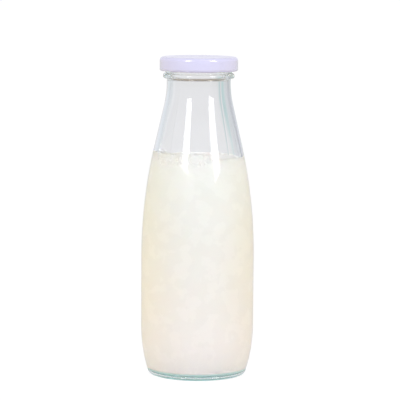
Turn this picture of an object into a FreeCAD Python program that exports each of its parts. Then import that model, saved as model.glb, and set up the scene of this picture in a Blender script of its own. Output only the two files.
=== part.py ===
# A half-litre glass milk bottle with a twist-off lug cap, the sealing ring in the cap and the milk inside.
# Millimetres and degrees, +Z up, origin at the middle of the ring that the bottle stands on.
import FreeCAD
import Part
import Sketcher

import math
import os
import re
import types

DIMENSIONS = [
    ("wall", 2.7, "thickness of the glass in the body, shoulder and neck"),
    ("body_radius", 37.0, "outside of the straight body"),
    ("taper_sweep", 100.0, "radius of the side's curve from the body down to the heel"),
    ("taper_turn", 17.7, "how far that curve turns in, in degrees"),
    ("heel_radius", 2.5, "rounding between the side and the standing ring"),
    ("standing_ring_inside", 24.5, "inner radius of the flat ring that the bottle stands on"),
    ("push_up", 3.0, "height of the hollow under the base"),
    ("push_up_radius", 19.5, "edge of the flat top of that hollow"),
    ("floor_height", 6.2, "top of the floor, over the hollow under the base"),
    ("floor_radius", 19.0, "edge of that flat top"),
    ("floor_low_height", 4.6, "lowest part of the floor, round its edge"),
    ("floor_low_radius", 28.8, "distance of that part from the axis"),
    ("floor_corner_height", 6.1, "height where the floor's corner meets the wall"),
    ("floor_corner_radius", 30.7, "inside of the wall at that height"),
    ("shoulder_foot", 78.0, "height where the body begins to draw in"),
    ("shoulder_sweep", 320.0, "radius of the long shoulder's curve"),
    ("shoulder_slope", 13.0, "slope of the cone above that curve from upright, in degrees"),
    ("neck_radius", 20.85, "outside of the neck"),
    ("neck_sweep", 63.0, "radius of the hollow curve from the shoulder into the neck"),
    ("bead_foot", 193.9, "lower edge of the transfer bead"),
    ("bead_height", 196.0, "crest of the transfer bead"),
    ("bead_top", 198.2, "upper edge of the transfer bead"),
    ("bead_radius", 23.3, "outside of the transfer bead"),
    ("bead_rounding", 0.7, "rounding of the bead's crest"),
    ("bead_turn", 50.0, "half the turn of that rounding, in degrees"),
    ("finish_radius", 21.9, "outside of the threaded mouth, under the threads"),
    ("rim_height", 207.3, "top of the glass"),
    ("rim_rounding", 1.2, "rounding of the mouth's inner and outer edges"),
    ("thread_starts", 4, "number of thread ridges, and of lugs on the cap"),
    ("thread_lead", 12.0, "rise of a ridge in one turn"),
    ("thread_radius", 23.3, "crest of a ridge at its middle"),
    ("thread_crest_half", 0.4, "half the thickness of a ridge at its crest"),
    ("thread_root_half", 1.2, "half the thickness of a ridge at its root"),
    ("thread_root", 3.0, "depth of the root below the crest, most of it inside the wall"),
    ("thread_off_centre", 5.9, "how far a ridge's own axis lies from the bottle's, so that its ends run out"),
    ("thread_sweep", 90.0, "turn of a ridge about its own axis, in degrees"),
    ("thread_past_lug", 8.0, "turn from a lug to the middle of the ridge above it, in degrees"),
    ("fill_level", 142.4, "height of the milk"),
    ("milk_gap", 0.05, "space between the milk and the glass"),
    ("meniscus_rise", 1.1, "climb of the milk at the glass"),
    ("meniscus_width", 1.9, "width of that climb"),
    ("cap_radius", 25.5, "outside of the cap's skirt"),
    ("cap_top", 208.4, "top of the raised ring on the cap"),
    ("cap_bottom", 199.2, "lower edge of the curl"),
    ("cap_sheet", 0.25, "thickness of the cap's sheet metal"),
    ("cap_shoulder", 1.7, "outer rounding between the cap's top and its skirt"),
    ("panel_radius", 16.6, "edge of the cap's flat middle panel"),
    ("panel_drop", 0.5, "depth of that panel below the raised ring"),
    ("panel_step", 1.0, "width of the slope between the panel and the ring"),
    ("curl_radius", 0.85, "outside of the rolled lower edge"),
    ("curl_turn", 270.0, "how far the edge is rolled in, in degrees"),
    ("lug_azimuth", 35.0, "direction of the first lug from +X, in degrees"),
    ("lug_reach", 22.3, "distance of a lug's tip from the axis"),
    ("lug_root", 24.6, "distance of a lug's root, inside the curl, from the axis"),
    ("lug_curve", 5.2, "radius of a lug's edge, seen from below"),
    ("lug_half_thickness", 0.4, "half of a lug's thickness"),
    ("lug_play", 0.25, "space between a lug and the ridge above it"),
    ("gasket_inside", 17.9, "inner radius of the sealing ring"),
    ("gasket_outside", 23.7, "outer radius of the sealing ring"),
    ("gasket_play", 0.02, "space between the sealing ring, the cap and the glass"),
]

# The shoulder's curve is drawn as so many equal arcs, and small roundings as so many short straight runs.
SHOULDER_ARCS = 3
CORNER_RUNS = 3
EDGE_RUNS = 2
CURL_RUNS = 4

LINE_START, LINE_END = 1, 2
SKETCH_ORIGIN = (-1, 1)
SKETCH_LEVEL_AXIS = -1
SKETCH_UPRIGHT_AXIS = -2
SAME_PLACE = 1e-6

doc = FreeCAD.newDocument("milk_bottle")
sheet = doc.addObject("Spreadsheet::Sheet", "Dimensions")
for row, (alias, value, meaning) in enumerate(DIMENSIONS, start=1):
    sheet.set(f"A{row}", meaning)
    sheet.set(f"B{row}", str(value))
    sheet.setAlias(f"B{row}", alias)
doc.recompute()
size = types.SimpleNamespace(**{alias: float(sheet.get(alias)) for alias, _, _ in DIMENSIONS})


def cells(formula):
    """The formula with each dimension's name turned into a reference to its cell in the sheet."""

    def cell(word):
        return f"Dimensions.{word[0]}" if hasattr(size, word[0]) else word[0]

    return re.sub(r"[a-z_]+", cell, formula)


def measure(formula):
    """The present value of a formula."""
    return float(sheet.evalExpression(cells(formula)))


def bind(thing, formulas):
    """Ties properties of a document object to the sheet."""
    for name, formula in formulas.items():
        thing.setExpression(name, cells(formula))


def cosine(degrees):
    """The formula of an angle's cosine."""
    return f"cos(({degrees}) * 1 deg)"


def sine(degrees):
    """The formula of an angle's sine."""
    return f"sin(({degrees}) * 1 deg)"


def polar(centre, radius, degrees):
    """The formulas of the point at a radius and an angle from a centre."""
    across, up = centre
    return f"({across} + ({radius}) * {cosine(degrees)})", f"({up} + ({radius}) * {sine(degrees)})"


def origin_feature(body, role):
    """A body's own origin plane or axis."""
    return next(feature for feature in body.Origin.OriginFeatures if feature.Role == role)


class Outline:
    """A closed chain of straight sides and arcs in a sketch on one of a body's planes.

    A point is a pair of formulas: its distance from the axis and its height. Every point and every radius
    is tied to the sheet by its formula.
    """

    def __init__(self, body, name, start, plane="XZ_Plane"):
        self.sketch = body.newObject("Sketcher::SketchObject", name)
        self.sketch.AttachmentSupport = (origin_feature(body, plane), [""])
        self.sketch.MapMode = "FlatFace"
        self.start = start
        self.here = self.placed(start)
        self.ends = []

    def placed(self, point):
        """The present place of a point."""
        return FreeCAD.Vector(*map(measure, point))

    def line_to(self, *point):
        """Adds a straight side."""
        element = self.sketch.addGeometry(Part.LineSegment(self.here, self.placed(point)))
        self.join(element, LINE_START, LINE_END, point)

    def arc_to(self, point, radius, clockwise=False):
        """Adds an arc of less than half a turn."""
        end = self.placed(point)
        chord = end - self.here
        depth = math.sqrt(measure(radius) ** 2 - chord.Length ** 2 / 4)
        inwards = FreeCAD.Vector(chord.y, -chord.x) if clockwise else FreeCAD.Vector(-chord.y, chord.x)
        centre = self.here + chord / 2 + inwards.normalize() * depth
        first, last = (end, self.here) if clockwise else (self.here, end)
        angles = [math.atan2(place.y - centre.y, place.x - centre.x) for place in (first, last)]
        circle = Part.Circle(centre, FreeCAD.Vector(0, 0, 1), measure(radius))
        element = self.sketch.addGeometry(Part.ArcOfCircle(circle, *angles))
        near, far = (LINE_END, LINE_START) if clockwise else (LINE_START, LINE_END)
        self.join(element, near, far, point)
        self.tie("Radius", (element,), radius)

    def round_to(self, centre, radius, first, last, runs=CORNER_RUNS):
        """Adds a straight side and then a small rounding from the first to the last angle about a centre."""
        for run in range(runs + 1):
            self.line_to(*polar(centre, radius, f"{first} + ({last} - ({first})) * {run} / {runs}"))

    def join(self, element, near, far, point):
        """Joins a new element to the one before it, and ties its far end to a point."""
        if self.ends:
            self.sketch.addConstraint(Sketcher.Constraint("Coincident", *self.ends[-1][1], element, near))
        self.ends.append(((element, near), (element, far)))
        self.here = self.placed(point)
        across, up = point
        if abs(self.here.x) < SAME_PLACE:
            self.sketch.addConstraint(Sketcher.Constraint("PointOnObject", element, far, SKETCH_UPRIGHT_AXIS))
        else:
            self.tie("DistanceX", (*SKETCH_ORIGIN, element, far), across)
        if abs(self.here.y) < SAME_PLACE:
            self.sketch.addConstraint(Sketcher.Constraint("PointOnObject", element, far, SKETCH_LEVEL_AXIS))
        else:
            self.tie("DistanceY", (*SKETCH_ORIGIN, element, far), up)

    def tie(self, kind, place, formula):
        """Adds a measured constraint and ties it to the sheet."""
        number = self.sketch.addConstraint(Sketcher.Constraint(kind, *place, measure(formula)))
        self.sketch.setExpression(f"Constraints[{number}]", f"({cells(formula)}) * 1 mm")

    def close(self):
        """Returns to the start, with a straight side if the chain isn't there yet."""
        if (self.here - self.placed(self.start)).Length > SAME_PLACE:
            self.line_to(*self.start)
        self.sketch.addConstraint(Sketcher.Constraint("Coincident", *self.ends[-1][1], *self.ends[0][0]))


def turned(body, outline, name):
    """A full turn of an outline about the axis."""
    feature = body.newObject("PartDesign::Revolution", name)
    feature.Profile = outline.sketch
    feature.ReferenceAxis = (outline.sketch, ["V_Axis"])
    feature.Angle = 360
    doc.recompute()


def around(body, feature, name):
    """Repeats a feature once for each thread start."""
    pattern = body.newObject("PartDesign::PolarPattern", name)
    pattern.Originals = [feature]
    pattern.Axis = (origin_feature(body, "Z_Axis"), [""])
    pattern.Angle = 360
    bind(pattern, {"Occurrences": "thread_starts"})
    body.Tip = pattern
    doc.recompute()


def new_body(label):
    """An empty body whose label names the piece."""
    body = doc.addObject("PartDesign::Body", label)
    doc.recompute()
    return body


# The side of the bottle from the heel to the neck, as the points where one run of it meets the next.
HEEL_CENTRE = (
    f"(body_radius - taper_sweep + (taper_sweep - heel_radius) * {cosine('taper_turn')})",
    "heel_radius",
)
TAPER_TOP = ("body_radius", f"(heel_radius + (taper_sweep - heel_radius) * {sine('taper_turn')})")
SHOULDER_CENTRE = ("(body_radius - shoulder_sweep)", "shoulder_foot")
SHOULDER = [
    polar(SHOULDER_CENTRE, "shoulder_sweep", f"shoulder_slope * {arc} / {SHOULDER_ARCS}")
    for arc in range(SHOULDER_ARCS + 1)
]
CONE_ACROSS = f"(neck_radius + neck_sweep * (1 - {cosine('shoulder_slope')}))"
CONE_UP = f"({SHOULDER[-1][1]} + ({SHOULDER[-1][0]} - {CONE_ACROSS}) / tan(shoulder_slope * 1 deg))"
CONE_TOP = (CONE_ACROSS, CONE_UP)
NECK_FOOT = ("neck_radius", f"({CONE_UP} + neck_sweep * {sine('shoulder_slope')})")

# The hollow follows the side in straight runs, at the wall's thickness from most of those points.
WALL_POINTS = [TAPER_TOP, *SHOULDER[::2], CONE_TOP, NECK_FOOT]
WALL_INSIDE = [(f"({across} - wall)", up) for across, up in WALL_POINTS]
FLOOR = [
    ("0", "floor_height"),
    ("floor_radius", "floor_height"),
    ("floor_low_radius", "floor_low_height"),
    ("floor_corner_radius", "floor_corner_height"),
]
RIM_INSIDE = ("(neck_radius - wall + rim_rounding)", "(rim_height - rim_rounding)")
RIM_OUTSIDE = ("(finish_radius - rim_rounding)", "(rim_height - rim_rounding)")
BEAD_CENTRE = ("(bead_radius - bead_rounding)", "bead_height")

# A ridge starts low and ends high. Its middle stands a little past a lug, just above it.
LUG_HEIGHT = "(cap_bottom + curl_radius)"
RIDGE_FLARE = "((thread_root_half - thread_crest_half) / thread_root)"
RIDGE_HALF_AT_LUG = f"(thread_crest_half + {RIDGE_FLARE} * (thread_radius - lug_reach))"
RIDGE_MIDDLE_TURN = "(lug_azimuth + thread_past_lug)"
RIDGE_RADIUS = "(thread_radius - thread_off_centre)"
RIDGE_PITCH = f"(thread_lead * {RIDGE_RADIUS} / thread_radius)"
RIDGE_START = (
    f"({LUG_HEIGHT} + lug_half_thickness + lug_play + {RIDGE_HALF_AT_LUG}"
    f" + thread_lead * thread_past_lug / 360 - {RIDGE_PITCH} * thread_sweep / 720)"
)

CAP_CORNER = ("(cap_radius - cap_shoulder)", "(cap_top - cap_shoulder)")
CURL_CENTRE = ("(cap_radius - curl_radius)", LUG_HEIGHT)
LUG_HALF_WIDTH = "sqrt(lug_curve ^ 2 - (lug_reach + lug_curve - lug_root) ^ 2)"


def draw_side(outline):
    """Draws the outside of the glass from the heel to the foot of the transfer bead."""
    outline.round_to(HEEL_CENTRE, "heel_radius", "-90", "-taper_turn")
    outline.arc_to(TAPER_TOP, "taper_sweep")
    outline.line_to(*SHOULDER[0])
    for top in SHOULDER[1:]:
        outline.arc_to(top, "shoulder_sweep")
    outline.line_to(*CONE_TOP)
    outline.arc_to(NECK_FOOT, "neck_sweep", clockwise=True)
    outline.line_to("neck_radius", "bead_foot")


def draw_mouth(outline):
    """Draws the transfer bead, the wall that the threads stand on, and the rounded rim."""
    outline.round_to(BEAD_CENTRE, "bead_rounding", "-bead_turn", "bead_turn", EDGE_RUNS)
    outline.line_to("finish_radius", "bead_top")
    outline.round_to(RIM_OUTSIDE, "rim_rounding", "0", "90", EDGE_RUNS)
    outline.round_to(RIM_INSIDE, "rim_rounding", "90", "180", EDGE_RUNS)


def add_threads(body):
    """Thread ridges round the mouth. Each follows a helix about an axis of its own, so its ends run out."""
    root = f"{RIDGE_RADIUS} - thread_root"
    outline = Outline(body, "thread_section", (root, f"{RIDGE_START} - thread_root_half"))
    outline.line_to(RIDGE_RADIUS, f"{RIDGE_START} - thread_crest_half")
    outline.line_to(RIDGE_RADIUS, f"{RIDGE_START} + thread_crest_half")
    outline.line_to(root, f"{RIDGE_START} + thread_root_half")
    outline.close()
    bind(
        outline.sketch,
        {
            "AttachmentOffset.Base.x": f"thread_off_centre * {cosine(RIDGE_MIDDLE_TURN)}",
            "AttachmentOffset.Base.z": f"-thread_off_centre * {sine(RIDGE_MIDDLE_TURN)}",
            "AttachmentOffset.Rotation.Pitch": f"{RIDGE_MIDDLE_TURN} - thread_sweep / 2",
        },
    )
    ridge = body.newObject("PartDesign::AdditiveHelix", "thread_ridge")
    ridge.Profile = outline.sketch
    ridge.ReferenceAxis = (outline.sketch, ["V_Axis"])
    ridge.Mode = "pitch-height-angle"
    bind(ridge, {"Pitch": RIDGE_PITCH, "Height": f"{RIDGE_PITCH} * thread_sweep / 360"})
    doc.recompute()
    around(body, ridge, "thread_ridges")


def make_bottle():
    """The bottle: one piece of glass, from the hollow under its base to the rim and down inside to the floor."""
    body = new_body("glass_bottle")
    outline = Outline(body, "glass_section", ("0", "push_up"))
    outline.line_to("push_up_radius", "push_up")
    outline.line_to("standing_ring_inside", "0")
    draw_side(outline)
    draw_mouth(outline)
    for point in reversed(FLOOR + WALL_INSIDE):
        outline.line_to(*point)
    outline.close()
    turned(body, outline, "glass")
    add_threads(body)
    return body


def make_milk():
    """The milk, just inside the glass, with its surface climbing a little at the wall."""
    body = new_body("milk_fill")
    edge_height = "(fill_level + meniscus_rise)"
    below = [point for point in WALL_INSIDE if measure(point[1]) < measure(edge_height)]
    (across_below, up_below), (across_above, up_above) = WALL_INSIDE[len(below) - 1 : len(below) + 1]
    lean = f"(({across_above} - {across_below}) / ({up_above} - {up_below}))"
    edge_across = f"({across_below} + {lean} * ({edge_height} - {up_below}) - milk_gap)"

    outline = Outline(body, "milk_section", ("0", "floor_height + milk_gap"))
    for across, up in FLOOR[1:]:
        outline.line_to(f"{across} - milk_gap", f"{up} + milk_gap")
    for across, up in below:
        outline.line_to(f"{across} - milk_gap", up)
    outline.line_to(edge_across, edge_height)
    outline.line_to(f"{edge_across} - meniscus_width", "fill_level")
    outline.line_to("0", "fill_level")
    outline.close()
    turned(body, outline, "milk")
    return body


def draw_lug(body):
    """The outline of a lug from above, on a plane that slopes with the thread."""
    outline = Outline(body, "lug_outline", ("lug_root", f"-{LUG_HALF_WIDTH}"), "XY_Plane")
    outline.line_to("lug_root", LUG_HALF_WIDTH)
    outline.arc_to(("lug_root", f"-{LUG_HALF_WIDTH}"), "lug_curve")
    outline.close()
    bind(
        outline.sketch,
        {
            "AttachmentOffset.Base.z": LUG_HEIGHT,
            "AttachmentOffset.Rotation.Yaw": "lug_azimuth",
            "AttachmentOffset.Rotation.Roll": "atan(thread_lead / (2 * pi * lug_root))",
        },
    )
    return outline


def make_cap():
    """The cap: one stamped sheet, with its edge rolled into a curl and lugs pressed out of the curl."""
    body = new_body("cap_shell")
    outline = Outline(body, "cap_section", ("0", "cap_top - panel_drop"))
    outline.line_to("panel_radius", "cap_top - panel_drop")
    outline.line_to("panel_radius + panel_step", "cap_top")
    outline.round_to(CAP_CORNER, "cap_shoulder", "90", "0")
    outline.round_to(CURL_CENTRE, "curl_radius", "0", "-curl_turn", CURL_RUNS)
    outline.line_to("cap_radius - cap_sheet", f"{LUG_HEIGHT} + curl_radius")
    outline.round_to(CAP_CORNER, "cap_shoulder - cap_sheet", "0", "90", EDGE_RUNS)
    outline.line_to("panel_radius + panel_step", "cap_top - cap_sheet")
    outline.line_to("panel_radius", "cap_top - panel_drop - cap_sheet")
    outline.line_to("0", "cap_top - panel_drop - cap_sheet")
    outline.close()
    turned(body, outline, "sheet")

    lug = body.newObject("PartDesign::Pad", "lug")
    lug.Profile = draw_lug(body).sketch
    lug.Midplane = True
    bind(lug, {"Length": "2 * lug_half_thickness"})
    doc.recompute()
    around(body, lug, "lugs")
    return body


def make_gasket():
    """The ring of sealing compound that lies in the cap's raised ring and presses on the rim of the glass."""
    body = new_body("cap_gasket")
    upper = "cap_top - cap_sheet - gasket_play"
    lower = "rim_height + gasket_play"
    outline = Outline(body, "gasket_section", ("gasket_inside", upper))
    outline.line_to("gasket_inside", lower)
    outline.line_to("gasket_outside", lower)
    outline.line_to("gasket_outside", upper)
    outline.close()
    turned(body, outline, "sealing_ring")
    return body


pieces = [make_bottle(), make_milk(), make_cap(), make_gasket()]
doc.recompute()

for thing in doc.Objects:
    if "Invalid" in thing.State or "Error" in thing.State:
        raise RuntimeError(f"{thing.Name} failed: {thing.State}")
    if thing.TypeId == "Sketcher::SketchObject" and not thing.FullyConstrained:
        raise RuntimeError(f"{thing.Name} is not fully tied")
for piece in pieces:
    shape = piece.Shape
    if shape.isNull() or not shape.isValid() or len(shape.Solids) != 1:
        raise RuntimeError(f"{piece.Label} is not one valid solid")

os.makedirs("parts", exist_ok=True)
for piece in pieces:
    piece.Shape.exportStep(f"parts/{piece.Label}.step")
    print(f"{piece.Label}: {piece.Shape.Volume / 1000:.2f} ml, {len(piece.Shape.Faces)} faces")
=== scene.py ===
# The looks of a half-litre milk bottle: blown glass, milk with its foam, a lacquered lug cap and its seal.
# Metres and degrees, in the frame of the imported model: +Z up, the photograph's viewer towards -Y.
import math
import random

import bpy
from mathutils import Euler, Matrix, Quaternion, Vector, noise


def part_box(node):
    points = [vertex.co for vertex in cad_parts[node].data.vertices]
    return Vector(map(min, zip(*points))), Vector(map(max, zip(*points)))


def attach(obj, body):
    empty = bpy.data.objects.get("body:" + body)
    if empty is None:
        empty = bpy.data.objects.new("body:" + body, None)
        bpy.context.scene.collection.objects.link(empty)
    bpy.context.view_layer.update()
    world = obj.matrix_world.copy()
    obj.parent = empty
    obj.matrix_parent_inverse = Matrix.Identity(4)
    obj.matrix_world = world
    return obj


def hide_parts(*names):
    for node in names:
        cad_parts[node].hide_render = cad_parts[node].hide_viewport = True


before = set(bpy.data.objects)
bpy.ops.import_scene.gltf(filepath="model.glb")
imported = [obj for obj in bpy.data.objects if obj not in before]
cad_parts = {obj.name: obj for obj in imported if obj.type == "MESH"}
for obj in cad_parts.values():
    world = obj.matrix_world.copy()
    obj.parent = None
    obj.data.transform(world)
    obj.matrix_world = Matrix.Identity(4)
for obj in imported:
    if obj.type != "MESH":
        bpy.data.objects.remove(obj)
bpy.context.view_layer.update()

MM = 0.001
VIEWER = -90.0

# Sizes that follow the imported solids
GLASS_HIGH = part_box("glass_bottle")[1]
CAP_LOW, CAP_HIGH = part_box("cap_shell")
MILK_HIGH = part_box("milk_fill")[1]
SEAL_LOW, SEAL_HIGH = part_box("cap_gasket")
BODY_RADIUS = GLASS_HIGH[0]
RIM_HEIGHT = GLASS_HIGH[2]
CAP_RADIUS = CAP_HIGH[0]
CAP_TOP = CAP_HIGH[2]
CAP_BOTTOM = CAP_LOW[2]

# Glass
WALL = 2.7 * MM
TAPER_SWEEP = 100.0 * MM
TAPER_TURN = 17.7
HEEL_RADIUS = 2.5 * MM
STANDING_RING_INSIDE = 24.5 * MM
PUSH_UP = 3.0 * MM
PUSH_UP_RADIUS = 19.5 * MM
FLOOR_HEIGHT = 6.2 * MM
FLOOR_RADIUS = 19.0 * MM
FLOOR_LOW = 3.7 * MM
FLOOR_CORNER = 2.0 * MM
SHOULDER_FOOT = 78.0 * MM
SHOULDER_SWEEP = 320.0 * MM
SHOULDER_SLOPE = 13.0
NECK_RADIUS = 20.85 * MM
NECK_SWEEP = 63.0 * MM
BEAD_FOOT = 194.3 * MM
BEAD_HEIGHT = 195.5 * MM
BEAD_TOP = 197.9 * MM
BEAD_RADIUS = 23.3 * MM
BEAD_FULLNESS = 0.8
FINISH_RADIUS = 21.9 * MM
RIM_ROUNDING = 1.2 * MM
THREAD_STARTS = 4
THREAD_LEAD = 12.0 * MM
THREAD_RADIUS = 23.3 * MM
THREAD_HALF_THICKNESS = 1.35 * MM
THREAD_OFF_CENTRE = 5.9 * MM
THREAD_MIDDLE_HEIGHT = 201.63 * MM
THREAD_MIDDLE_TURN = 43.0
SEAM_TURN = VIEWER + 42.0
SEAM_HEIGHT = 0.07 * MM
SEAM_WIDTH = 0.35 * MM
SEAM_OFFSETS = (-0.5, -0.25, 0.0, 0.25, 0.5)
WAVE_DEPTH = 0.16 * MM
WAVES_ROUND = 3.2
WAVE_LENGTH = 70.0 * MM
WAVES_CALM_RADIUS = 10.0 * MM
WAVES_END = 196.0 * MM
WAVES_FADE = 16.0 * MM

# Milk
FILL_LEVEL = 142.4 * MM
MENISCUS_RISE = MILK_HIGH[2] - FILL_LEVEL
MENISCUS_WIDTH = 1.9 * MM
MILK_IN_WALL = 0.25 * MM

# Foam: where it lies is turned from the viewer's direction, and heights are above the milk's level.
FOAM_SEED = 11
FOAM_TRIES = 1300
FOAM_LEFT, FOAM_RIGHT = -128.0, 20.0
FOAM_FADE = 10.0
BUBBLES_LEFT, BUBBLES_RIGHT = -62.0, 10.0
FOAM_LIFT = 3.4 * MM
FOAM_UNEVEN = 0.25
FOAM_UNEVEN_SCALE = 5.0
FOAM_WIDTH = 9.0 * MM
FOAM_DEPTH = 5.0 * MM
FOAM_TURN_STEP = 0.6
LUMP_HEIGHT = 0.6 * MM
LUMP_WIDTH = 2.4 * MM
BUBBLE_LEAST, BUBBLE_MOST = 1.0 * MM, 2.2 * MM
BUBBLES_LOW, BUBBLES_HIGH = -3.2 * MM, 3.6 * MM
BUBBLE_OVERLAP = 0.9
BIG_BUBBLES = [(-4.0, 0.9 * MM, 3.9 * MM, 3.4 * MM), (13.5, 0.6 * MM, 2.8 * MM, 2.4 * MM)]
RING_HALF_WIDTH = 0.6 * MM
RING_DEPTH = 0.45 * MM

# Cap
CAP_SHEET = 0.25 * MM
CAP_SHOULDER = 2.3 * MM
PANEL_RADIUS = 16.6 * MM
PANEL_DROP = 0.3 * MM
PANEL_STEP = 1.0 * MM
PANEL_BEND = 5.0 * MM
PANEL_BEND_STEPS = 12
CURL_RADIUS = 0.85 * MM
CURL_TURN = 290.0
LUG_TURN = 35.0
LUG_REACH = 22.3 * MM
LUG_HALF_WIDTH = 11.0
LUG_PRESS_END = 1.3
LUG_FLATTENING = 0.3

# Seal
SEAL_INSIDE = 17.9 * MM
SEAL_OUTSIDE = SEAL_HIGH[0]
SEAL_ROUNDING = 0.3 * MM

# Mesh fineness
TURN_STEPS = 192
LINE_STEP = 2.0 * MM
FINE_STEP = 0.25 * MM
ARC_STEP = 6.0
BEAD_STEP = 7.5
SAME_PLACE = 1e-7


def sine(degrees):
    return math.sin(math.radians(degrees))


def cosine(degrees):
    return math.cos(math.radians(degrees))


def wrapped(degrees):
    """The same angle, between -180 and 180 degrees."""
    return (degrees + 180.0) % 360.0 - 180.0


def smooth_hump(distance):
    """1 at no distance, falling smoothly to 0 at a distance of 1."""
    return (1.0 - distance * distance) ** 2 if abs(distance) < 1.0 else 0.0


def smooth_rise(share):
    """0 up to a share of 0, rising smoothly to 1 at a share of 1 and beyond."""
    share = min(1.0, max(0.0, share))
    return share * share * (3.0 - 2.0 * share)


class Section:
    """A line drawn beside the axis, as (radius, height) points."""

    def __init__(self, radius, height):
        self.points = [(radius, height)]

    def line_to(self, radius, height, step=LINE_STEP):
        """Adds a straight run in steps."""
        start_radius, start_height = self.points[-1]
        count = max(1, math.ceil(math.hypot(radius - start_radius, height - start_height) / step))
        for number in range(1, count + 1):
            share = number / count
            point = (
                start_radius + (radius - start_radius) * share,
                start_height + (height - start_height) * share,
            )
            self.points.append(point)

    def arc(self, centre, radius, first, last, step=LINE_STEP):
        """Adds a straight run up to an arc, and the arc from the first angle to the last."""
        turn = last - first
        length = math.radians(abs(turn)) * radius
        count = max(2, math.ceil(abs(turn) / ARC_STEP), math.ceil(length / step))
        self.line_to(*around(centre, radius, first))
        for number in range(1, count + 1):
            self.points.append(around(centre, radius, first + turn * number / count))


def around(centre, radius, degrees):
    """The point at an angle about a centre."""
    return centre[0] + radius * cosine(degrees), centre[1] + radius * sine(degrees)


def even_turns(count=TURN_STEPS):
    """Directions spread evenly round the axis."""
    return [360.0 * number / count for number in range(count)]


def turned_mesh(name, runs, turns, looped=False):
    """A mesh turned about the axis from runs of section points, each with its own shift.

    A shift gives the radius and height that a point of the section has in one direction.
    """
    vertices = []
    rings = []
    for points, shift in runs:
        for radius, height in points:
            if radius < SAME_PLACE:
                rings.append([len(vertices)])
                vertices.append((0.0, 0.0, height))
                continue
            rings.append(range(len(vertices), len(vertices) + len(turns)))
            for turn in turns:
                across, up = shift(turn, radius, height)
                vertices.append((across * cosine(turn), across * sine(turn), up))
    pairs = list(zip(rings, rings[1:]))
    if looped:
        pairs.append((rings[-1], rings[0]))
    faces = []
    for below, above in pairs:
        for side in range(len(turns)):
            after = (side + 1) % len(turns)
            corners = [below[side % len(below)], below[after % len(below)]]
            corners += [above[after % len(above)], above[side % len(above)]]
            faces.append(list(dict.fromkeys(corners)))
    mesh = bpy.data.meshes.new(name)
    mesh.from_pydata(vertices, [], faces)
    mesh.validate()
    mesh.shade_smooth()
    return mesh


def add_piece(name, mesh, material, slot, body, *nodes):
    """Puts a mesh in the scene as a piece that rides on a body and stands for the given nodes."""
    piece = bpy.data.objects.new(name, mesh)
    bpy.context.scene.collection.objects.link(piece)
    mesh.materials.append(material)
    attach(piece, body)
    if nodes:
        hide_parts(*nodes)
    return piece


def true_round(turn, radius, height):
    """The shift of a surface that is truly round."""
    return radius, height


# Material building


class Nodes:
    """Adds nodes to a shader tree and links them."""

    def __init__(self, owner):
        owner.use_nodes = True
        self.tree = owner.node_tree
        self.tree.nodes.clear()

    def add(self, kind, settings=None, **inputs):
        """Adds a node. Inputs are numbers, colours or another node's outputs, by the socket's name."""
        node = self.tree.nodes.new(kind)
        for name, value in (settings or {}).items():
            setattr(node, name, value)
        for name, value in inputs.items():
            self.feed(node.inputs[name.replace("_", " ")], value)
        return node

    def feed(self, socket, value):
        """Sets a socket or links it."""
        if isinstance(value, bpy.types.NodeSocket):
            self.tree.links.new(value, socket)
        else:
            socket.default_value = value

    def math(self, operation, *values, clamp=False):
        """The output of a sum on numbers or outputs."""
        node = self.add("ShaderNodeMath", {"operation": operation, "use_clamp": clamp})
        for socket, value in zip(node.inputs, values):
            self.feed(socket, value)
        return node.outputs[0]

    def blend(self, share, first, second, blend_type="MIX"):
        """The output of a colour mix."""
        node = self.add("ShaderNodeMix", {"data_type": "RGBA", "blend_type": blend_type})
        self.feed(node.inputs[0], share)
        self.feed(node.inputs[6], first)
        self.feed(node.inputs[7], second)
        return node.outputs[2]

    def ramp(self, value, *stops):
        """The output of a colour ramp with (place, colour) stops."""
        node = self.add("ShaderNodeValToRGB", Fac=value)
        elements = node.color_ramp.elements
        while len(elements) < len(stops):
            elements.new(0.5)
        for element, (place, colour) in zip(elements, stops):
            element.position = place
            element.color = colour
        return node.outputs["Color"]

    def noise(self, vector, scale, detail=4.0, roughness=0.5):
        """The output of a noise texture."""
        settings = {"Vector": vector, "Scale": scale, "Detail": detail, "Roughness": roughness}
        return self.add("ShaderNodeTexNoise", **settings).outputs["Fac"]

    def output(self, kind="ShaderNodeOutputMaterial", **inputs):
        """Adds the tree's output node."""
        self.add(kind, **inputs)


def place_nodes(nodes, scale=(1.0, 1.0, 1.0)):
    """The output that gives a place on the object, stretched by a scale."""
    place = nodes.add("ShaderNodeTexCoord").outputs["Object"]
    return nodes.add("ShaderNodeMapping", Vector=place, Scale=scale).outputs["Vector"]


def grey(level):
    """A grey as a colour with full cover."""
    return (level, level, level, 1.0)


def glass_material():
    """Clear soda-lime glass with a slight teal tint, faint streaks and a few marks of handling."""
    material = bpy.data.materials.new("clear_glass")
    nodes = Nodes(material)
    streaks = nodes.noise(place_nodes(nodes, (1.0, 1.0, 0.12)), 160.0, 3.0)
    peel = nodes.noise(place_nodes(nodes), 900.0, 2.0)
    relief = nodes.math("ADD", nodes.math("MULTIPLY", streaks, 1.0), nodes.math("MULTIPLY", peel, 0.12))
    bump = nodes.add("ShaderNodeBump", Height=relief, Strength=0.05, Distance=0.4 * MM)
    handling = nodes.noise(place_nodes(nodes), 70.0, 6.0, 0.65)
    roughness = nodes.ramp(handling, (0.45, grey(0.0)), (0.8, grey(0.05)))
    shader = nodes.add("ShaderNodeBsdfPrincipled", Roughness=roughness, Normal=bump.outputs["Normal"])
    shader.inputs["Base Color"].default_value = (1.0, 1.0, 1.0, 1.0)
    shader.inputs["IOR"].default_value = 1.5
    shader.inputs["Transmission Weight"].default_value = 1.0
    absorption = nodes.add("ShaderNodeVolumeAbsorption", Color=(0.0, 0.74, 0.76, 1.0), Density=1.6)
    nodes.output(Surface=shader.outputs["BSDF"], Volume=absorption.outputs["Volume"])
    return material


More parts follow.
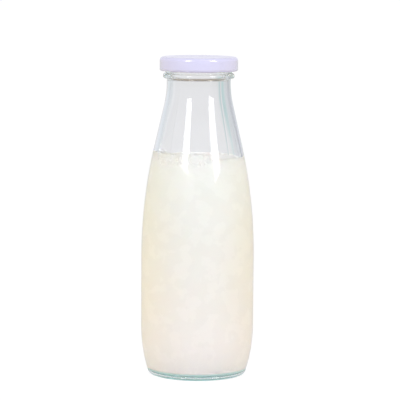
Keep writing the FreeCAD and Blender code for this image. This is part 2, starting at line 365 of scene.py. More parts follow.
def milk_material():
    """Whole milk, with painted light in its colour: whiter at its surface and faintly pink lower down, and a
    painted teal tint where it lies on the glass floor.
    """
    material = bpy.data.materials.new("whole_milk")
    nodes = Nodes(material)
    height = nodes.add("ShaderNodeSeparateXYZ", Vector=place_nodes(nodes)).outputs["Z"]
    share = nodes.math("DIVIDE", height, FILL_LEVEL)
    drift = nodes.noise(place_nodes(nodes), 28.0, 3.0)
    share = nodes.math("ADD", share, nodes.math("MULTIPLY", nodes.math("SUBTRACT", drift, 0.5), 0.02))
    # Painted light: the milk is whiter near its surface to make up for the shade there, and faintly pink
    # lower down for warm light from below.
    colour = nodes.ramp(
        share,
        (0.05, (0.967, 0.944, 0.958, 1.0)),
        (0.35, (0.953, 0.938, 0.939, 1.0)),
        (0.65, (0.936, 0.935, 0.931, 1.0)),
        (0.88, (0.935, 0.945, 0.94, 1.0)),
        (0.98, (0.99, 0.995, 0.998, 1.0)),
    )
    clouds = nodes.noise(place_nodes(nodes), 90.0, 5.0)
    colour = nodes.blend(nodes.math("MULTIPLY", clouds, 0.012), colour, (0.90, 0.88, 0.84, 1.0))
    # Painted light: a teal tint where the milk faces down onto the glass floor, for the light that comes
    # through the thick teal glass there.
    normal = nodes.add("ShaderNodeTexCoord").outputs["Normal"]
    upwards = nodes.add("ShaderNodeSeparateXYZ", Vector=normal).outputs["Z"]
    floor = nodes.ramp(nodes.math("MULTIPLY", upwards, -1.0), (0.35, grey(0.0)), (0.7, grey(1.0)))
    colour = nodes.blend(floor, colour, (0.76, 0.955, 0.95, 1.0))
    surface = nodes.ramp(upwards, (0.9, grey(0.0)), (0.99, grey(1.0)))
    side_roughness = nodes.ramp(clouds, (0.3, grey(0.22)), (0.7, grey(0.32)))
    ripples = nodes.noise(place_nodes(nodes), 260.0, 3.0)
    bump = nodes.add("ShaderNodeBump", Height=ripples, Strength=0.02, Distance=0.3 * MM)
    shader = nodes.add("ShaderNodeBsdfPrincipled", Normal=bump.outputs["Normal"])
    nodes.feed(shader.inputs["Base Color"], colour)
    nodes.feed(shader.inputs["Roughness"], nodes.blend(surface, side_roughness, grey(0.5)))
    shader.inputs["IOR"].default_value = 1.35
    shader.inputs["Subsurface Weight"].default_value = 0.15
    shader.inputs["Subsurface Radius"].default_value = (1.0, 0.75, 0.5)
    shader.inputs["Subsurface Scale"].default_value = 1.6 * MM
    nodes.output(Surface=shader.outputs["BSDF"])
    return material


def lacquer_material():
    """Glossy lavender lacquer on tinplate, with the faint peel of a roller coat, fine rub marks and a painted
    shade along the curl's bottom edge.
    """
    material = bpy.data.materials.new("lavender_lacquer")
    nodes = Nodes(material)
    cloud = nodes.noise(place_nodes(nodes), 120.0, 4.0)
    colour = nodes.ramp(cloud, (0.3, (0.69, 0.688, 0.965, 1.0)), (0.7, (0.715, 0.712, 0.985, 1.0)))
    rubs = nodes.noise(place_nodes(nodes, (1.0, 1.0, 6.0)), 420.0, 6.0, 0.7)
    rubbed = nodes.ramp(rubs, (0.62, grey(0.0)), (0.78, grey(0.3)))
    colour = nodes.blend(rubbed, colour, (0.75, 0.74, 0.97, 1.0))
    # Painted shade: a dark purple band along the bottom of the curl, where shade falls under the cap's edge.
    height = nodes.add("ShaderNodeSeparateXYZ", Vector=place_nodes(nodes)).outputs["Z"]
    above_edge = nodes.math("DIVIDE", nodes.math("SUBTRACT", height, CAP_BOTTOM), CURL_RADIUS)
    edge = nodes.ramp(above_edge, (0.1, grey(0.9)), (0.95, grey(0.0)))
    colour = nodes.blend(edge, colour, (0.36, 0.27, 0.48, 1.0))
    peel = nodes.noise(place_nodes(nodes), 1500.0, 2.0)
    bump = nodes.add("ShaderNodeBump", Height=peel, Strength=0.03, Distance=0.1 * MM)
    shader = nodes.add("ShaderNodeBsdfPrincipled", Normal=bump.outputs["Normal"])
    nodes.feed(shader.inputs["Base Color"], colour)
    nodes.feed(shader.inputs["Roughness"], nodes.ramp(rubs, (0.4, grey(0.1)), (0.8, grey(0.22))))
    shader.inputs["IOR"].default_value = 1.55
    shader.inputs["Coat Weight"].default_value = 1.0
    shader.inputs["Coat IOR"].default_value = 2.0
    shader.inputs["Coat Roughness"].default_value = 0.03
    nodes.output(Surface=shader.outputs["BSDF"])
    return material


def lining_material():
    """The cap's inside lacquer: pale gold, worn a little by the glass, and darkened as painted shade for the
    inside of the cap.
    """
    material = bpy.data.materials.new("gold_lining")
    nodes = Nodes(material)
    cloud = nodes.noise(place_nodes(nodes), 160.0, 5.0)
    # Painted shade: the pale gold is darkened so that the cap's inside, seen through the bead's glass, looks
    # shaded.
    colour = nodes.ramp(cloud, (0.3, (0.48, 0.42, 0.37, 1.0)), (0.7, (0.58, 0.52, 0.46, 1.0)))
    shader = nodes.add("ShaderNodeBsdfPrincipled")
    nodes.feed(shader.inputs["Base Color"], colour)
    nodes.feed(shader.inputs["Roughness"], nodes.ramp(cloud, (0.3, grey(0.25)), (0.7, grey(0.4))))
    nodes.output(Surface=shader.outputs["BSDF"])
    return material


def seal_material():
    """Flowed-in sealing compound: satin, off-white, with fine pores."""
    material = bpy.data.materials.new("sealing_compound")
    nodes = Nodes(material)
    cloud = nodes.noise(place_nodes(nodes), 200.0, 5.0)
    pores = nodes.noise(place_nodes(nodes), 2600.0, 2.0)
    colour = nodes.ramp(cloud, (0.3, (0.80, 0.78, 0.73, 1.0)), (0.7, (0.88, 0.87, 0.83, 1.0)))
    bump = nodes.add("ShaderNodeBump", Height=pores, Strength=0.2, Distance=0.1 * MM)
    shader = nodes.add("ShaderNodeBsdfPrincipled", Normal=bump.outputs["Normal"])
    nodes.feed(shader.inputs["Base Color"], colour)
    nodes.feed(shader.inputs["Roughness"], nodes.ramp(pores, (0.3, grey(0.42)), (0.7, grey(0.6))))
    nodes.output(Surface=shader.outputs["BSDF"])
    return material


# Glass: places that the outside and the inside share
TAPER_TOP = HEEL_RADIUS + (TAPER_SWEEP - HEEL_RADIUS) * sine(TAPER_TURN)
TAPER_CENTRE = (BODY_RADIUS - TAPER_SWEEP, TAPER_TOP)
HEEL_CENTRE = around(TAPER_CENTRE, TAPER_SWEEP - HEEL_RADIUS, -TAPER_TURN)
SHOULDER_CENTRE = (BODY_RADIUS - SHOULDER_SWEEP, SHOULDER_FOOT)
CONE_DEPTH = BODY_RADIUS - NECK_RADIUS - (SHOULDER_SWEEP + NECK_SWEEP) * (1.0 - cosine(SHOULDER_SLOPE))
NECK_FOOT = (
    SHOULDER_FOOT
    + (SHOULDER_SWEEP + NECK_SWEEP) * sine(SHOULDER_SLOPE)
    + CONE_DEPTH * cosine(SHOULDER_SLOPE) / sine(SHOULDER_SLOPE)
)
NECK_CENTRE = (NECK_RADIUS + NECK_SWEEP, NECK_FOOT)
CORNER_SWEEP = TAPER_SWEEP - WALL - FLOOR_CORNER
CORNER_TURN = math.degrees(math.asin((TAPER_TOP - FLOOR_LOW - FLOOR_CORNER) / CORNER_SWEEP))
CORNER_CENTRE = around(TAPER_CENTRE, CORNER_SWEEP, -CORNER_TURN)


def draw_wall(section, depth):
    """Draws the side from the straight body up to the neck, at a depth below the outer surface."""
    section.arc(SHOULDER_CENTRE, SHOULDER_SWEEP - depth, 0.0, SHOULDER_SLOPE)
    section.arc(NECK_CENTRE, NECK_SWEEP + depth, 180.0 + SHOULDER_SLOPE, 180.0)


def draw_bead(section):
    """Draws the transfer bead, which stands out further from the neck than from the finish."""
    for number in range(round(180.0 / BEAD_STEP) + 1):
        turn = number * BEAD_STEP - 90.0
        foot = NECK_RADIUS if turn < 0.0 else FINISH_RADIUS
        half_height = BEAD_HEIGHT - BEAD_FOOT if turn < 0.0 else BEAD_TOP - BEAD_HEIGHT
        across = abs(cosine(turn)) ** BEAD_FULLNESS
        up = math.copysign(abs(sine(turn)) ** BEAD_FULLNESS, turn)
        section.line_to(foot + (BEAD_RADIUS - foot) * across, BEAD_HEIGHT + half_height * up)


def glass_outside():
    """The outside of the glass, from the middle of the hollow base up to the rim."""
    section = Section(0.0, PUSH_UP)
    section.line_to(PUSH_UP_RADIUS, PUSH_UP)
    section.line_to(STANDING_RING_INSIDE, 0.0, FINE_STEP * 2)
    section.line_to(HEEL_CENTRE[0], 0.0, FINE_STEP * 2)
    section.arc(HEEL_CENTRE, HEEL_RADIUS, -90.0, -TAPER_TURN)
    section.arc(TAPER_CENTRE, TAPER_SWEEP, -TAPER_TURN, 0.0)
    draw_wall(section, 0.0)
    draw_bead(section)
    rim = (FINISH_RADIUS - RIM_ROUNDING, RIM_HEIGHT - RIM_ROUNDING)
    section.line_to(FINISH_RADIUS, rim[1], FINE_STEP)
    section.arc(rim, RIM_ROUNDING, 0.0, 90.0)
    return section.points


def glass_inside():
    """The inside of the glass, from the rim down to the middle of the floor."""
    section = Section(0.0, FLOOR_HEIGHT)
    draw_hollow(section, 0.0)
    bore = NECK_RADIUS - WALL
    rim = (bore + RIM_ROUNDING, RIM_HEIGHT - RIM_ROUNDING)
    section.arc(rim, RIM_ROUNDING, 180.0, 90.0)
    return section.points[::-1]


def draw_hollow(section, sink):
    """Draws the hollow's floor, rounded corner and wall, sunk a little into the glass or not at all."""
    depth = WALL - sink
    section.line_to(FLOOR_RADIUS, FLOOR_HEIGHT - sink)
    section.arc(CORNER_CENTRE, FLOOR_CORNER + sink, -90.0, -CORNER_TURN, FINE_STEP * 2)
    section.arc(TAPER_CENTRE, TAPER_SWEEP - depth, -CORNER_TURN, 0.0)
    draw_wall(section, depth)


def mould_marks(turn, radius, height):
    """The outside's marks from the mould: two seams, and the thread ridges round the mouth."""
    for seam in (SEAM_TURN, SEAM_TURN + 180.0):
        aside = math.radians(wrapped(turn - seam)) * radius / SEAM_WIDTH
        radius += SEAM_HEIGHT * smooth_hump(aside)
    if height > BEAD_TOP and radius > FINISH_RADIUS - SEAM_HEIGHT:
        radius += thread_height(turn, height)
    return radius, height


def thread_height(turn, height):
    """How far a thread ridge stands out of the mouth's wall at a place."""
    own_radius = THREAD_RADIUS - THREAD_OFF_CENTRE
    step = 360.0 / THREAD_STARTS
    past_middle = (turn - THREAD_MIDDLE_TURN + step / 2) % step - step / 2
    aside = THREAD_OFF_CENTRE * sine(past_middle)
    crest = THREAD_OFF_CENTRE * cosine(past_middle) + math.sqrt(own_radius ** 2 - aside ** 2)
    own_turn = past_middle + math.degrees(math.asin(aside / own_radius))
    middle = THREAD_MIDDLE_HEIGHT + THREAD_LEAD * own_radius / THREAD_RADIUS * own_turn / 360.0
    return max(0.0, crest - FINISH_RADIUS) * smooth_hump((height - middle) / THREAD_HALF_THICKNESS)


def blown_waves(turn, radius, height):
    """The inside's slight waves, drawn out upwards by the blowing."""
    place = Vector((WAVES_ROUND * cosine(turn), WAVES_ROUND * sine(turn), height / WAVE_LENGTH))
    below_end = max(0.0, (WAVES_END - height) / WAVES_FADE)
    strength = min(1.0, radius / WAVES_CALM_RADIUS, below_end)
    return radius + WAVE_DEPTH * strength * noise.noise(place), height


def make_glass():
    """The blown glass, as one closed skin."""
    turns = even_turns()
    for seam in (SEAM_TURN, SEAM_TURN + 180.0):
        turns += [(seam + offset) % 360.0 for offset in SEAM_OFFSETS]
    runs = [(glass_outside(), mould_marks), (glass_inside(), blown_waves)]
    mesh = turned_mesh("glass", runs, sorted(turns))
    add_piece("glass", mesh, glass_material(), "clear_glass", "bottle", "glass_bottle")


def wall_inside(height):
    """The inside of the shoulder's wall at a height."""
    sweep = SHOULDER_SWEEP - WALL
    return SHOULDER_CENTRE[0] + math.sqrt(sweep ** 2 - (height - SHOULDER_FOOT) ** 2)


class Bubble:
    """A bubble flat against the glass. Its rim stands off the glass and shows as a white ring."""

    def __init__(self, turn, height, half_width, half_height):
        self.turn = VIEWER + turn
        self.height = FILL_LEVEL + height
        self.half_width = half_width
        self.half_height = half_height
        self.wall = wall_inside(self.height)

    def distance(self, turn, height):
        """How far a place on the wall is from the middle: 1 at the bubble's edge."""
        aside = math.radians(wrapped(turn - self.turn)) * self.wall / self.half_width
        return math.hypot(aside, (height - self.height) / self.half_height)

    def clear_of(self, other):
        """Whether two bubbles lie side by side, or overlap only a little."""
        along = math.radians(wrapped(self.turn - other.turn)) * self.wall
        gap = math.hypot(along, self.height - other.height)
        return gap > BUBBLE_OVERLAP * (self.half_width + other.half_width)

    def ring(self, turn, height):
        """How far the rim stands off the glass at a place on the wall."""
        inside = (1.0 - self.distance(turn, height)) * self.half_width
        return RING_DEPTH * smooth_hump((inside - RING_HALF_WIDTH) / RING_HALF_WIDTH)


def foam_bubbles():
    """The two large bubbles, and small ones strewn along the wall."""
    rng = random.Random(FOAM_SEED)
    bubbles = [Bubble(*sizes) for sizes in BIG_BUBBLES]
    for _ in range(FOAM_TRIES):
        turn = rng.uniform(BUBBLES_LEFT, BUBBLES_RIGHT)
        height = rng.triangular(BUBBLES_LOW, BUBBLES_HIGH)
        half_width = rng.triangular(BUBBLE_LEAST, BUBBLE_MOST, BUBBLE_LEAST)
        bubble = Bubble(turn, height, half_width, half_width)
        if all(bubble.clear_of(other) for other in bubbles):
            bubbles.append(bubble)
    return bubbles


def foam_lift(turn):
    """How far the foam has climbed the glass in a direction."""
    aside = wrapped(turn - VIEWER)
    inside = min(aside - FOAM_LEFT, FOAM_RIGHT - aside) / FOAM_FADE
    place = Vector((cosine(turn), sine(turn), 0.0)) * FOAM_UNEVEN_SCALE
    return FOAM_LIFT * smooth_rise(inside) * (1.0 + FOAM_UNEVEN * noise.noise(place))


def foam_on_wall(bubbles):
    """The shift of the milk's side: up the glass where foam clings, and off it at the bubbles' rims."""

    def shift(turn, radius, height):
        foot = FILL_LEVEL - FOAM_DEPTH
        if height < foot:
            return radius, height
        height += foam_lift(turn) * (height - foot) / (FOAM_DEPTH + MENISCUS_RISE)
        ring = max(bubble.ring(turn, height) for bubble in bubbles)
        return wall_inside(height) + MILK_IN_WALL - ring, height

    return shift


def foam_on_top(turn, radius, height):
    """The shift of the milk's top, where foam lies on it along the glass."""
    from_wall = wall_inside(FILL_LEVEL + MENISCUS_RISE) - radius
    lift = foam_lift(turn)
    cover = smooth_hump(max(0.0, from_wall) / FOAM_WIDTH)
    place = Vector((radius * cosine(turn), radius * sine(turn), 0.0)) / LUMP_WIDTH
    lump = LUMP_HEIGHT * (1.0 - noise.voronoi(place)[0][0]) * lift / FOAM_LIFT
    raised = height + (lift + lump * smooth_rise(from_wall / MENISCUS_WIDTH)) * cover
    return radius - (wall_inside(height) - wall_inside(height + lift)) * cover, raised


def milk_side():
    """The milk's floor and side, a little inside the glass so that no air shows between them."""
    section = Section(0.0, FLOOR_HEIGHT - MILK_IN_WALL)
    draw_hollow(section, MILK_IN_WALL)
    foam_foot = FILL_LEVEL - FOAM_DEPTH
    points = [point for point in section.points if point[1] < foam_foot]
    rows = math.ceil((FOAM_DEPTH + MENISCUS_RISE) / FINE_STEP)
    for row in range(rows + 1):
        height = foam_foot + (FOAM_DEPTH + MENISCUS_RISE) * row / rows
        points.append((wall_inside(height) + MILK_IN_WALL, height))
    return points


def milk_top():
    """The milk's surface from its climb at the glass to the middle."""
    edge = wall_inside(FILL_LEVEL + MENISCUS_RISE)
    hollow = (MENISCUS_WIDTH ** 2 + MENISCUS_RISE ** 2) / (2.0 * MENISCUS_RISE)
    turn = math.degrees(math.asin(MENISCUS_WIDTH / hollow))
    section = Section(edge, FILL_LEVEL + MENISCUS_RISE)
    section.arc((edge - MENISCUS_WIDTH, FILL_LEVEL + hollow), hollow, -90.0 + turn, -90.0, FINE_STEP)
    section.line_to(edge - FOAM_WIDTH, FILL_LEVEL, FINE_STEP * 2)
    section.line_to(0.0, FILL_LEVEL)
    return section.points[1:]


def make_milk():
    """The milk, with the foam on it."""
    foam_turns = math.ceil((FOAM_RIGHT - FOAM_LEFT) / FOAM_TURN_STEP)
    turns = even_turns() + [VIEWER + FOAM_LEFT + number * FOAM_TURN_STEP for number in range(foam_turns)]
    turns = sorted({round(turn % 360.0, 3) for turn in turns})
    runs = [(milk_side(), foam_on_wall(foam_bubbles())), (milk_top(), foam_on_top)]
    mesh = turned_mesh("milk", runs, turns)
    add_piece("milk", mesh, milk_material(), "milk", "bottle", "milk_fill")


CURL_CENTRE = (CAP_RADIUS - CURL_RADIUS, CAP_BOTTOM + CURL_RADIUS)
CAP_CORNER = (CAP_RADIUS - CAP_SHOULDER, CAP_TOP - CAP_SHOULDER)


def draw_panel(section, top, steps):
    """Draws the smooth bend between the sunk middle panel and the raised ring."""
    foot = PANEL_RADIUS - PANEL_BEND
    width = PANEL_STEP + PANEL_BEND
    for step in steps:
        share = step / PANEL_BEND_STEPS
        section.line_to(foot + width * share, top - PANEL_DROP * (1.0 - smooth_rise(share)))


def cap_outside():
    """The cap's sheet from the panel's middle over the shoulder and skirt and round the curl."""
    section = Section(0.0, CAP_TOP - PANEL_DROP)
    draw_panel(section, CAP_TOP, range(PANEL_BEND_STEPS + 1))
    section.arc(CAP_CORNER, CAP_SHOULDER, 90.0, 0.0)
    section.line_to(CAP_RADIUS, CURL_CENTRE[1], FINE_STEP * 4)
    section.arc(CURL_CENTRE, CURL_RADIUS, 0.0, -CURL_TURN)
    return section.points


def cap_inside():
    """The other face of the sheet, from the end of the curl back to the middle."""
    section = Section(*around(CURL_CENTRE, CURL_RADIUS - CAP_SHEET, -CURL_TURN))
    section.arc(CURL_CENTRE, CURL_RADIUS - CAP_SHEET, -CURL_TURN, 0.0)
    section.arc(CAP_CORNER, CAP_SHOULDER - CAP_SHEET, 0.0, 90.0)
    draw_panel(section, CAP_TOP - CAP_SHEET, reversed(range(PANEL_BEND_STEPS + 1)))
    section.line_to(0.0, CAP_TOP - PANEL_DROP - CAP_SHEET)
    return section.points


def pressed_lugs(turn, radius, height):
    """The shift of the curl where lugs are pressed out of it."""
    step = 360.0 / THREAD_STARTS
    aside = (turn - LUG_TURN + step / 2) % step - step / 2
    press = smooth_hump(aside / LUG_HALF_WIDTH)
    above_edge = (height - CAP_BOTTOM) / (2.0 * CURL_RADIUS)
    if above_edge > LUG_PRESS_END:
        return radius, height
    inwards = (CAP_RADIUS - radius) / (2.0 * CURL_RADIUS)
    reach = (CAP_RADIUS - 2.0 * CURL_RADIUS - LUG_REACH) * inwards
    flatten = LUG_FLATTENING * CURL_RADIUS * (1.0 - above_edge)
    return radius - press * reach, height + press * flatten


def make_cap():
    """The lug cap: lavender outside, with a pale protective lacquer inside."""
    turns = even_turns()
    outside = cap_outside()
    mesh = turned_mesh("cap", [(outside, pressed_lugs), (cap_inside(), pressed_lugs)], turns)
    add_piece("cap", mesh, lacquer_material(), "lacquered_tinplate", "cap", "cap_shell")
    mesh.materials.append(lining_material())
    for face in mesh.polygons[len(outside) * len(turns):]:
        face.material_index = 1


def make_seal():
    """The ring of sealing compound."""
    top = SEAL_HIGH[2]
    corner_height = SEAL_LOW[2] + SEAL_ROUNDING
    section = Section(SEAL_INSIDE, top)
    section.arc((SEAL_INSIDE + SEAL_ROUNDING, corner_height), SEAL_ROUNDING, 180.0, 270.0)
    section.arc((SEAL_OUTSIDE - SEAL_ROUNDING, corner_height), SEAL_ROUNDING, 270.0, 360.0)
    section.line_to(SEAL_OUTSIDE, top)
    section.line_to(SEAL_INSIDE + LINE_STEP, top)
    mesh = turned_mesh("seal", [(section.points, true_round)], even_turns(), looped=True)
    add_piece("seal", mesh, seal_material(), "sealing_compound", "cap_seal", "cap_gasket")


# Studio

CAMERA_DISTANCE = 1.4
CAMERA_HEIGHT = 0.2763
CAMERA_PITCH = 6.592
CAMERA_ROLL = 0.42
PHOTO_WIDTH = 400.0
FOCAL_PIXELS = 2150.0
AXIS_PIXELS_LEFT = 2.1
SENSOR_WIDTH = 36.0
AMBIENT_LEVEL = 0.95
TOP_LIGHT = 0.4
SCREEN_DISTANCE = 0.6
SCREEN_HEIGHT = 0.45
SCREEN_TURN = 100.0
SCREEN_STEP = 4.0
SCREEN_WARP = 5.0
SCREEN_COLOUR = (0.81, 0.81, 0.825, 1.0)
SCREEN_STRIPES = [
    (-100.0, (0.56, 0.58, 0.60, 1.0)),
    (-55.0, (0.56, 0.58, 0.60, 1.0)),
    (-42.0, (0.74, 0.79, 0.82, 1.0)),
    (-30.0, (0.78, 0.82, 0.86, 1.0)),
    (-21.0, (0.80, 0.84, 0.87, 1.0)),
    (-16.0, (0.92, 0.92, 0.94, 1.0)),
    (-13.0, (0.82, 0.82, 0.84, 1.0)),
    (-8.0, SCREEN_COLOUR),
    (3.0, SCREEN_COLOUR),
    (6.5, (0.76, 0.765, 0.775, 1.0)),
    (9.0, (0.64, 0.71, 0.715, 1.0)),
    (11.0, (0.46, 0.62, 0.625, 1.0)),
    (14.0, (0.50, 0.65, 0.655, 1.0)),
    (16.5, (0.66, 0.70, 0.71, 1.0)),
    (21.0, (0.56, 0.58, 0.61, 1.0)),
    (36.0, (0.50, 0.52, 0.56, 1.0)),
    (52.0, (0.72, 0.74, 0.77, 1.0)),
    (100.0, (0.76, 0.77, 0.79, 1.0)),
]
CAMERA_WHITE = 1.13
WALL_LEVEL = 0.92
FLOOR_LEVEL = 0.72
TABLE_GLOW = 0.12
WARM_CARD_DISTANCE = 0.16
WARM_CARD_WIDTH = 0.16
WARM_CARD_FOOT = 0.035
WARM_CARD_TOP = 0.13
LAMP_COLOUR = (1.0, 1.0, 1.01)
LAMP_DISTANCE = 1.2
LAMP_TARGET = Vector((0.0, 0.0, 0.15))
FLOOR_REACH = 20.0
FLOOR_COLOUR = (0.77, 0.765, 0.77, 1.0)
FLOOR_GLOW_COLOUR = (0.982, 0.985, 1.0, 1.0)
FLOOR_GLOW_SHARE = 0.8
WALL_COLOUR = (0.895, 0.89, 1.0, 1.0)
LEFT_LIGHT = (1.1, 0.98, 0.78, 1.0)
MIDDLE_LIGHT = (0.26, 0.265, 0.275, 1.0)
RIGHT_LIGHT = (0.98, 0.88, 0.72, 1.0)
LEFT_CARD_COLOUR = (1.45, 1.06, 0.2, 1.0)
RIGHT_CARD_COLOUR = (1.25, 0.9, 0.2, 1.0)


def make_camera():
    """The camera at the photograph's viewing angle."""
    camera = bpy.data.objects.new("camera", bpy.data.cameras.new("camera"))
    bpy.context.scene.collection.objects.link(camera)
    camera.data.sensor_width = SENSOR_WIDTH
    camera.data.lens = FOCAL_PIXELS / PHOTO_WIDTH * SENSOR_WIDTH
    camera.data.shift_x = AXIS_PIXELS_LEFT / PHOTO_WIDTH
    tilt = Euler((math.radians(90.0 - CAMERA_PITCH), 0.0, 0.0)).to_matrix().to_4x4()
    roll = Matrix.Rotation(math.radians(CAMERA_ROLL), 4, "Z")
    camera.matrix_world = Matrix.Translation((0.0, -CAMERA_DISTANCE, CAMERA_HEIGHT)) @ tilt @ roll
    bpy.context.scene.camera = camera


def make_softbox(name, turn, lift, roll, width, height, radiance):
    """A soft lamp that faces the bottle's shoulder, turned and lifted from the viewer's direction."""
    around_axis = VIEWER + turn
    level = cosine(lift)
    direction = Vector((cosine(around_axis) * level, sine(around_axis) * level, sine(lift)))
    lamp = bpy.data.lights.new(name, "AREA")
    lamp.shape = "RECTANGLE"
    lamp.size = width
    lamp.size_y = height
    lamp.energy = radiance * math.pi * width * height
    lamp.color = LAMP_COLOUR
    softbox = bpy.data.objects.new(name, lamp)
    softbox.location = LAMP_TARGET + direction * LAMP_DISTANCE
    facing = direction.to_track_quat("Z", "Y") @ Quaternion((0.0, 0.0, 1.0), math.radians(roll))
    softbox.rotation_euler = facing.to_euler()
    softbox.visible_camera = False
    bpy.context.scene.collection.objects.link(softbox)
    return softbox


def add_stage(name, corners, faces, material):
    """Puts a piece of the studio in the scene."""
    mesh = bpy.data.meshes.new(name)
    mesh.from_pydata(corners, [], faces)
    mesh.materials.append(material)
    piece = bpy.data.objects.new(name, mesh)
    bpy.context.scene.collection.objects.link(piece)
    return piece


def gathers_light(nodes, path):
    """1 for a ray that gathers light for a surface, and 0 for one that looks at the studio."""
    return nodes.math("MINIMUM", path["Diffuse Depth"], 1.0)


def make_warm_card(name, side, colour):
    """A warm card low beside the bottle that only rays gathering light see. It warms the milk's edges."""
    material = bpy.data.materials.new(name)
    nodes = Nodes(material)
    path = nodes.add("ShaderNodeLightPath").outputs
    clear = nodes.add("ShaderNodeBsdfTransparent")
    warm = nodes.add("ShaderNodeEmission", Color=colour)
    mix = nodes.add("ShaderNodeMixShader", Fac=gathers_light(nodes, path))
    nodes.feed(mix.inputs[1], clear.outputs[0])
    nodes.feed(mix.inputs[2], warm.outputs[0])
    nodes.output(Surface=mix.outputs[0])
    reach = WARM_CARD_WIDTH / 2.0
    across = side * WARM_CARD_DISTANCE
    foot = [(across, -reach, WARM_CARD_FOOT), (across, reach, WARM_CARD_FOOT)]
    top = [(across, reach, WARM_CARD_TOP), (across, -reach, WARM_CARD_TOP)]
    card = add_stage(name, foot + top, [(0, 1, 2, 3)], material)
    card.visible_camera = False
    card.visible_glossy = False
    card.visible_shadow = False


def screen_material():
    """Soft upright stripes that wander a little, by the turn from straight behind the bottle."""
    material = bpy.data.materials.new("striped_screen")
    nodes = Nodes(material)
    place = nodes.add("ShaderNodeTexCoord").outputs["Object"]
    parts = nodes.add("ShaderNodeSeparateXYZ", Vector=place).outputs
    turn = nodes.math("DEGREES", nodes.math("ARCTAN2", parts["X"], parts["Y"]))
    wander = nodes.math("SUBTRACT", nodes.noise(place, 25.0, 2.0), 0.5)
    turn = nodes.math("ADD", turn, nodes.math("MULTIPLY", wander, SCREEN_WARP))
    share = nodes.math("ADD", nodes.math("DIVIDE", turn, 2.0 * SCREEN_TURN), 0.5)
    stops = [(stripe / (2.0 * SCREEN_TURN) + 0.5, colour) for stripe, colour in SCREEN_STRIPES]
    strength = nodes.ramp(parts["Z"], (0.09, grey(0.35)), (0.145, grey(1.0)))
    colour = nodes.blend(strength, SCREEN_COLOUR, nodes.ramp(share, *stops))
    level = nodes.ramp(parts["Z"], (0.11, grey(1.0)), (0.17, grey(0.94)))
    colour = nodes.blend(1.0, colour, level, "MULTIPLY")
    nodes.output(Surface=nodes.add("ShaderNodeEmission", Color=colour).outputs[0])
    return material


def make_screen():
    """A curved screen behind the bottle that draws the streaks in the clear glass.

    It shows only through glass: the camera, gloss, shadows and the light on the object don't see it.
    """
    columns = round(2.0 * SCREEN_TURN / SCREEN_STEP)
    corners = []
    for column in range(columns + 1):
        turn = column * SCREEN_STEP - SCREEN_TURN
        foot = (SCREEN_DISTANCE * sine(turn), SCREEN_DISTANCE * cosine(turn))
        corners += [(*foot, 0.0), (*foot, SCREEN_HEIGHT)]
    faces = [(2 * column, 2 * column + 1, 2 * column + 3, 2 * column + 2) for column in range(columns)]
    screen = add_stage("screen", corners, faces, screen_material())
    screen.visible_camera = False
    screen.visible_diffuse = False
    screen.visible_glossy = False
    screen.visible_shadow = False


def looks_on(nodes, path):
    """1 for a ray that looks at the background, also in gloss or through glass, and 0 for other rays."""
    looks = nodes.math("ADD", path["Is Camera Ray"], path["Is Glossy Ray"])
    looks = nodes.math("ADD", looks, path["Is Transmission Ray"], clamp=True)
    return nodes.math("SUBTRACT", looks, gathers_light(nodes, path), clamp=True)


def background_strength(nodes, path, white, level):
    """White to the camera, and a little greyer in gloss and through glass."""
    more = nodes.math("MULTIPLY", path["Is Camera Ray"], white - level)
    return nodes.math("ADD", more, level)


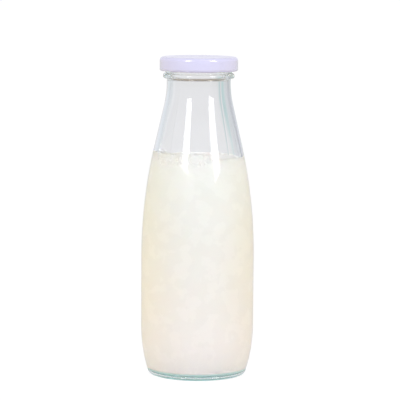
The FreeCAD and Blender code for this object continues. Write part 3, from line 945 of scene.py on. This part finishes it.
def make_world():
    """Soft light from all round, warmer from the sides, and a white background."""
    world = bpy.data.worlds.new("studio")
    bpy.context.scene.world = world
    nodes = Nodes(world)
    path = nodes.add("ShaderNodeLightPath").outputs
    direction = nodes.add("ShaderNodeTexCoord").outputs["Generated"]
    parts = nodes.add("ShaderNodeSeparateXYZ", Vector=direction).outputs
    sideways = nodes.math("MULTIPLY_ADD", parts["X"], 0.5, 0.5)
    colour = nodes.ramp(
        sideways,
        (0.05, LEFT_LIGHT),
        (0.35, MIDDLE_LIGHT),
        (0.65, MIDDLE_LIGHT),
        (0.95, RIGHT_LIGHT),
    )
    from_above = nodes.math("MAXIMUM", parts["Z"], 0.0)
    colour = nodes.blend(nodes.math("MULTIPLY", from_above, TOP_LIGHT), colour, grey(1.2))
    ambient = nodes.add("ShaderNodeBackground", Color=colour, Strength=AMBIENT_LEVEL)
    wall = nodes.add("ShaderNodeBackground", Color=WALL_COLOUR)
    nodes.feed(wall.inputs["Strength"], background_strength(nodes, path, CAMERA_WHITE, WALL_LEVEL))
    final = nodes.add("ShaderNodeMixShader", Fac=looks_on(nodes, path))
    nodes.feed(final.inputs[1], ambient.outputs[0])
    nodes.feed(final.inputs[2], wall.outputs[0])
    nodes.output("ShaderNodeOutputWorld", Surface=final.outputs[0])


def make_floor():
    """A wide white floor that keeps a soft shadow."""
    material = bpy.data.materials.new("white_floor")
    nodes = Nodes(material)
    path = nodes.add("ShaderNodeLightPath").outputs
    diffuse = nodes.add("ShaderNodeBsdfDiffuse", Color=FLOOR_COLOUR)
    table = nodes.add("ShaderNodeEmission", Strength=TABLE_GLOW)
    lit = nodes.add("ShaderNodeAddShader")
    nodes.feed(lit.inputs[0], diffuse.outputs[0])
    nodes.feed(lit.inputs[1], table.outputs[0])
    glow = nodes.add("ShaderNodeEmission", Color=FLOOR_GLOW_COLOUR)
    nodes.feed(glow.inputs["Strength"], background_strength(nodes, path, CAMERA_WHITE, FLOOR_LEVEL))
    share = nodes.math("MULTIPLY", looks_on(nodes, path), FLOOR_GLOW_SHARE)
    mix = nodes.add("ShaderNodeMixShader", Fac=share)
    nodes.feed(mix.inputs[1], lit.outputs[0])
    nodes.feed(mix.inputs[2], glow.outputs[0])
    nodes.output(Surface=mix.outputs[0])
    sides = [(-1.0, -1.0), (1.0, -1.0), (1.0, 1.0), (-1.0, 1.0)]
    corners = [(across * FLOOR_REACH, along * FLOOR_REACH, 0.0) for across, along in sides]
    add_stage("floor", corners, [(0, 1, 2, 3)], material)


make_glass()
make_milk()
make_cap()
make_seal()
make_camera()
make_softbox("left_softbox", turn=-32.5, lift=26.4, roll=-4.0, width=0.325, height=0.56, radiance=6.4)
make_softbox("right_softbox", turn=44.6, lift=25.7, roll=8.0, width=0.33, height=0.63, radiance=6.1)
make_world()
make_floor()
make_screen()
make_warm_card("left_card", -1.0, LEFT_CARD_COLOUR)
make_warm_card("right_card", 1.0, RIGHT_CARD_COLOUR)
bpy.context.scene.view_settings.view_transform = "Standard"
bpy.context.scene.cycles.max_bounces = 48
bpy.context.scene.cycles.glossy_bounces = 32
bpy.context.scene.cycles.blur_glossy = 0.0
bpy.context.scene.cycles.diffuse_bounces = 16
bpy.context.scene.cycles.transmission_bounces = 32
